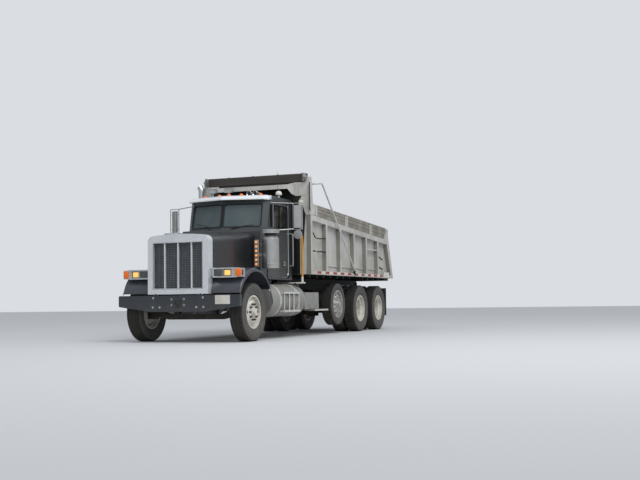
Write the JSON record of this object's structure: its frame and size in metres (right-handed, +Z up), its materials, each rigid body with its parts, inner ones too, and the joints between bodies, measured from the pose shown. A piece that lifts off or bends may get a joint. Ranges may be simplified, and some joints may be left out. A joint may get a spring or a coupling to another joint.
{
  "type": "dump truck",
  "caption": "Three-axle dump truck with a long hood, a raised lift axle and a tipping body with a hinged tailgate, tarp arms and twin hoist.",
  "frame": {"origin": "on the ground, in the middle of the truck's length and width", "axes": "+X forward, +Y to the driver's (left) side, +Z up"},
  "size_m": [8.936, 2.928, 3.33],
  "materials": {
    "steel_wheel": "white paint, dusty",
    "polished_wheel": "polished",
    "tyre": "matt, dusty sidewalls",
    "axle_iron": "painted black, dusty",
    "cab_paint": "satin, dark grey",
    "side_glass": "tinted",
    "mirror_steel": "brushed",
    "frame_paint": "satin black",
    "bumper_paint": "gloss, blue black",
    "engine_iron": "rough",
    "dull_aluminium": "dull",
    "stack_chrome": "bright",
    "flap_rubber": "matt",
    "shield_glass": "tinted",
    "dash_plastic": "matt",
    "seat_fabric": "woven",
    "visor_steel": "bright stainless",
    "lamp_chrome": "bright",
    "cleaner_steel": "bright stainless",
    "hood_paint": "satin, blue black",
    "fender_paint": "satin, slate",
    "grille_aluminium": "satin",
    "grille_dark": "dark mesh",
    "bed_dark": "worn and dusty",
    "bed_paint": "light grey, dusty",
    "board_wood": "weathered",
    "housing_paint": "satin, black brown",
    "arm_aluminium": "dull",
    "hoist_paint": "satin black",
    "rod_chrome": "hard chrome"
  },
  "bodies": {
    "chassis": {"chassis_frame": "frame_paint", "front_bumper": "bumper_paint", "engine": "engine_iron", "driveline": "engine_iron", "front_axle": "axle_iron", "lift_axle": "axle_iron", "drive_axles": "axle_iron", "fuel_tanks": "dull_aluminium", "tank_mounts": "dull_aluminium", "side_boxes": "dull_aluminium", "exhaust_stack": "stack_chrome", "mud_flaps": "flap_rubber", "cab_floor": "cab_paint", "cab_front": "cab_paint", "cab_back": "cab_paint", "cab_roof": "cab_paint", "cab_glass": "shield_glass", "dashboard": "dash_plastic", "seats": "seat_fabric", "sun_visor": "visor_steel", "roof_lamps": "lamp_chrome", "air_cleaners": "cleaner_steel"},
    "hood": {"hood": "hood_paint", "fenders": "fender_paint", "headlamps": "lamp_chrome", "grille_surround": "grille_aluminium", "grille_mesh": "grille_dark"},
    "door_left": {"door_left": "cab_paint", "door_glass_left": "side_glass", "mirror_left": "mirror_steel"},
    "door_right": {"door_right": "cab_paint", "door_glass_right": "side_glass", "mirror_right": "mirror_steel"},
    "knuckle_left": {"knuckle_left": "axle_iron"},
    "knuckle_right": {"knuckle_right": "axle_iron"},
    "bed": {"bed_floor": "bed_dark", "bed_sides": "bed_paint", "bed_front": "bed_paint", "side_boards": "board_wood", "tarp_housing": "housing_paint"},
    "tailgate": {"tailgate": "bed_paint"},
    "tarp_arms": {"tarp_arms": "arm_aluminium"},
    "hoist_barrel": {"hoist_barrels": "hoist_paint"},
    "hoist_rod": {"hoist_rods": "rod_chrome"},
    "steer_wheel_left": {"steer_rim_left": "steel_wheel", "steer_tyre_left": "tyre"},
    "steer_wheel_right": {"steer_rim_right": "steel_wheel", "steer_tyre_right": "tyre"},
    "lift_wheel_left": {"lift_rim_left": "polished_wheel", "lift_tyre_left": "tyre"},
    "lift_wheel_right": {"lift_rim_right": "polished_wheel", "lift_tyre_right": "tyre"},
    "drive1_wheel_left": {"drive1_rim_left": "steel_wheel", "drive1_tyre_left": "tyre"},
    "drive1_wheel_right": {"drive1_rim_right": "steel_wheel", "drive1_tyre_right": "tyre"},
    "drive2_wheel_left": {"drive2_rim_left": "steel_wheel", "drive2_tyre_left": "tyre"},
    "drive2_wheel_right": {"drive2_rim_right": "steel_wheel", "drive2_tyre_right": "tyre"}
  },
  "joints": [
    {"name": "steer_left", "type": "hinge", "parent": "chassis", "child": "knuckle_left", "pos_m": [3.77, 0.93, 0.527], "axis": [0, 0, 1], "range_deg": [-35, 35]},
    {"name": "steer_wheel_left_spin", "type": "hinge", "parent": "knuckle_left", "child": "steer_wheel_left", "pos_m": [3.77, 1.045, 0.527], "axis": [0, 1, 0], "continuous": true},
    {"name": "steer_right", "type": "hinge", "parent": "chassis", "child": "knuckle_right", "pos_m": [3.77, -0.93, 0.527], "axis": [0, 0, 1], "range_deg": [-35, 35]},
    {"name": "steer_wheel_right_spin", "type": "hinge", "parent": "knuckle_right", "child": "steer_wheel_right", "pos_m": [3.77, -1.045, 0.527], "axis": [0, 1, 0], "continuous": true},
    {"name": "lift_wheel_left_spin", "type": "hinge", "parent": "chassis", "child": "lift_wheel_left", "pos_m": [-0.474, 1.0705, 0.636], "axis": [0, 1, 0], "continuous": true},
    {"name": "lift_wheel_right_spin", "type": "hinge", "parent": "chassis", "child": "lift_wheel_right", "pos_m": [-0.474, -1.0705, 0.636], "axis": [0, 1, 0], "continuous": true},
    {"name": "drive1_wheel_left_spin", "type": "hinge", "parent": "chassis", "child": "drive1_wheel_left", "pos_m": [-1.874, 0.9245, 0.527], "axis": [0, 1, 0], "continuous": true},
    {"name": "drive1_wheel_right_spin", "type": "hinge", "parent": "chassis", "child": "drive1_wheel_right", "pos_m": [-1.874, -0.9245, 0.527], "axis": [0, 1, 0], "continuous": true},
    {"name": "drive2_wheel_left_spin", "type": "hinge", "parent": "chassis", "child": "drive2_wheel_left", "pos_m": [-3.19, 0.9245, 0.527], "axis": [0, 1, 0], "continuous": true},
    {"name": "drive2_wheel_right_spin", "type": "hinge", "parent": "chassis", "child": "drive2_wheel_right", "pos_m": [-3.19, -0.9245, 0.527], "axis": [0, 1, 0], "continuous": true},
    {"name": "door_left_open", "type": "hinge", "parent": "chassis", "child": "door_left", "pos_m": [2.482, 0.856, 1.6], "axis": [0, 0, -1], "range_deg": [0, 70]},
    {"name": "door_right_open", "type": "hinge", "parent": "chassis", "child": "door_right", "pos_m": [2.482, -0.856, 1.6], "axis": [0, 0, 1], "range_deg": [0, 70]},
    {"name": "hood_open", "type": "hinge", "parent": "chassis", "child": "hood", "pos_m": [4.454, 0, 0.853], "axis": [0, 1, 0], "range_deg": [0, 75]},
    {"name": "bed_tip", "type": "hinge", "parent": "chassis", "child": "bed", "pos_m": [-3.78, 0, 1.12], "axis": [0, -1, 0], "range_deg": [0, 48]},
    {"name": "tailgate_swing", "type": "hinge", "parent": "bed", "child": "tailgate", "pos_m": [-3.99428, 0, 2.44], "axis": [0, 1, 0], "range_deg": [0, 60]},
    {"name": "tarp_arms_swing", "type": "hinge", "parent": "bed", "child": "tarp_arms", "pos_m": [-1.4, 0, 1.35], "axis": [0, -1, 0], "range_deg": [0, 110]},
    {"name": "hoist_swing", "type": "hinge", "parent": "chassis", "child": "hoist_barrel", "pos_m": [0.17, 0, 0.89], "axis": [0, 1, 0], "range_deg": [0, 24.27]},
    {"name": "hoist_extend", "type": "slide", "parent": "hoist_barrel", "child": "hoist_rod", "axis": [-0.9917, 0, 0.1282], "range_m": [0, 1.10972]}
  ],
  "couplings": [
    {"joint": "hoist_swing", "follows": "bed_tip", "ratio": 0.50535},
    {"joint": "hoist_extend", "follows": "bed_tip", "m_per_rad": 1.324},
    {"joint": "steer_right", "follows": "steer_left", "ratio": 1}
  ]
}
